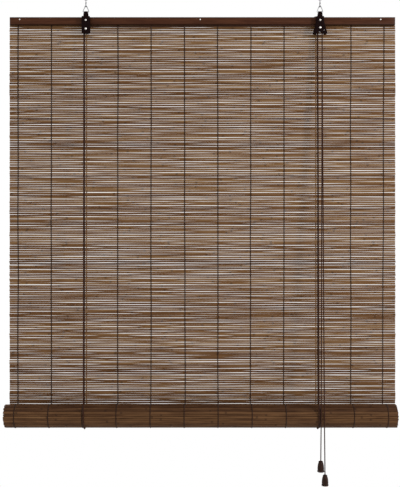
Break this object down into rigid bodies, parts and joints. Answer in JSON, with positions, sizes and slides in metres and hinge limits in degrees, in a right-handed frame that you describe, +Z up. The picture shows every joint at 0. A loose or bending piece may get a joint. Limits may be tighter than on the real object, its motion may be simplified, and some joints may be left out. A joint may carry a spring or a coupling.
{
  "type": "bamboo roll up blind",
  "caption": "Bamboo slat roll up blind on a wooden head rail, with ring hangers, a pulley block, a cord lock, lift cords and wooden acorn pulls, part rolled up.",
  "frame": {"origin": "midway between the two screw hooks' shanks, on the ceiling face that their collars seat on", "axes": "+Z up, along the hook shanks; +X to the right along the head rail; -Y towards the room"},
  "size_m": [1.0228, 0.082, 1.277],
  "materials": {
    "bamboo": "stained split bamboo, satin",
    "warp_thread": "twisted cotton",
    "rail_wood": "stained and lacquered softwood",
    "acorn_wood": "turned and lacquered",
    "lift_cord": "braided",
    "bright_wire": "zinc plated wire",
    "bright_screws": "plated steel",
    "worn_steel": "dark turned steel",
    "black_steel": "black japanned steel"
  },
  "bodies": {
    "hooks": {"left_hook": "bright_wire", "right_hook": "bright_wire"},
    "left_ring": {"left_ring": "bright_wire"},
    "right_ring": {"right_ring": "bright_wire"},
    "head_rail": {"front_rail_batten": "rail_wood", "back_rail_batten": "rail_wood", "rail_screws": "bright_screws", "block_screws": "bright_screws", "left_pulley_block": "black_steel", "right_cord_lock": "black_steel", "left_axle_rivet": "bright_screws", "right_axle_rivet": "bright_screws", "left_top_knot": "lift_cord", "right_top_knot": "lift_cord", "left_knot_cord": "lift_cord", "right_knot_cord": "lift_cord", "left_back_lift_cord": "lift_cord", "right_back_lift_cord": "lift_cord", "left_front_lift_cord": "lift_cord", "right_front_lift_cord": "lift_cord", "left_cross_cord": "lift_cord", "right_lock_cord": "lift_cord", "pull_cord_1_upper": "lift_cord", "pull_cord_2_upper": "lift_cord", "slats_1": "bamboo", "slats_2": "bamboo", "slats_3": "bamboo", "slats_4": "bamboo", "slats_5": "bamboo", "slats_6": "bamboo", "slats_7": "bamboo", "slats_8": "bamboo", "warp_threads_1": "warp_thread", "warp_threads_2": "warp_thread", "warp_threads_3": "warp_thread", "warp_threads_4": "warp_thread", "warp_threads_5": "warp_thread", "warp_threads_6": "warp_thread", "warp_threads_7": "warp_thread", "warp_threads_8": "warp_thread", "warp_threads_9": "warp_thread", "warp_threads_10": "warp_thread", "warp_threads_11": "warp_thread", "warp_threads_12": "warp_thread"},
    "left_wheel": {"left_wheel": "worn_steel"},
    "right_wheel": {"right_wheel": "worn_steel"},
    "lock_roller": {"lock_roller": "worn_steel"},
    "roll_cradle": {"left_lift_loop": "lift_cord", "right_lift_loop": "lift_cord", "pull_cord_1_lower": "lift_cord", "pull_cord_2_lower": "lift_cord"},
    "roll": {"bamboo_roll": "bamboo", "upper_bottom_batten": "rail_wood", "lower_bottom_batten": "rail_wood"},
    "acorn_1": {"acorn_1": "acorn_wood", "acorn_1_knot": "lift_cord"},
    "acorn_2": {"acorn_2": "acorn_wood", "acorn_2_knot": "lift_cord"}
  },
  "joints": [
    {"name": "left_ring_swing", "type": "hinge", "parent": "hooks", "child": "left_ring", "pos_m": [-0.3065, 0, -0.01745], "axis": [1, 0, 0], "range_deg": [-30, 30]},
    {"name": "right_ring_swing", "type": "hinge", "parent": "hooks", "child": "right_ring", "pos_m": [0.3065, 0, -0.01745], "axis": [1, 0, 0], "range_deg": [-30, 30]},
    {"name": "rail_tilt", "type": "hinge", "parent": "left_ring", "child": "head_rail", "pos_m": [-0.3065, 0, -0.03333], "axis": [1, 0, 0], "range_deg": [-30, 30]},
    {"name": "roll_lift", "type": "slide", "parent": "head_rail", "child": "roll_cradle", "axis": [0, 0, 1], "range_m": [0, 0.85], "deforming": ["slats_1", "slats_2", "slats_3", "slats_4", "slats_5", "slats_6", "slats_7", "slats_8", "warp_threads_1", "warp_threads_2", "warp_threads_3", "warp_threads_4", "warp_threads_5", "warp_threads_6", "warp_threads_7", "warp_threads_8", "warp_threads_9", "warp_threads_10", "warp_threads_11", "warp_threads_12", "left_back_lift_cord", "right_back_lift_cord", "left_front_lift_cord", "right_front_lift_cord", "pull_cord_1_upper", "pull_cord_2_upper"]},
    {"name": "roll_spin", "type": "hinge", "parent": "roll_cradle", "child": "roll", "pos_m": [-0.0014, -0.0132, -1.08768], "axis": [1, 0, 0], "continuous": true},
    {"name": "left_wheel_spin", "type": "hinge", "parent": "head_rail", "child": "left_wheel", "pos_m": [-0.3065, 0, -0.07758], "axis": [0, 1, 0], "continuous": true},
    {"name": "right_wheel_spin", "type": "hinge", "parent": "head_rail", "child": "right_wheel", "pos_m": [0.3065, 0, -0.07458], "axis": [0, 1, 0], "continuous": true},
    {"name": "lock_roller_slide", "type": "slide", "parent": "head_rail", "child": "lock_roller", "axis": [0.7071, 0, 0.7071], "range_m": [0, 0.0042]},
    {"name": "acorn_1_drop", "type": "slide", "parent": "roll_cradle", "child": "acorn_1", "axis": [0, 0, -1], "range_m": [0, 2.55], "deforming": ["pull_cord_1_lower"]},
    {"name": "acorn_2_drop", "type": "slide", "parent": "roll_cradle", "child": "acorn_2", "axis": [0, 0, -1], "range_m": [0, 2.55], "deforming": ["pull_cord_2_lower"]}
  ],
  "couplings": [
    {"joint": "right_ring_swing", "follows": "left_ring_swing", "ratio": 1},
    {"joint": "roll_spin", "follows": "roll_lift", "rad_per_m": -31.746},
    {"joint": "left_wheel_spin", "follows": "roll_lift", "rad_per_m": 363.64},
    {"joint": "right_wheel_spin", "follows": "roll_lift", "rad_per_m": 363.64},
    {"joint": "acorn_1_drop", "follows": "roll_lift", "ratio": 3},
    {"joint": "acorn_2_drop", "follows": "roll_lift", "ratio": 3}
  ]
}
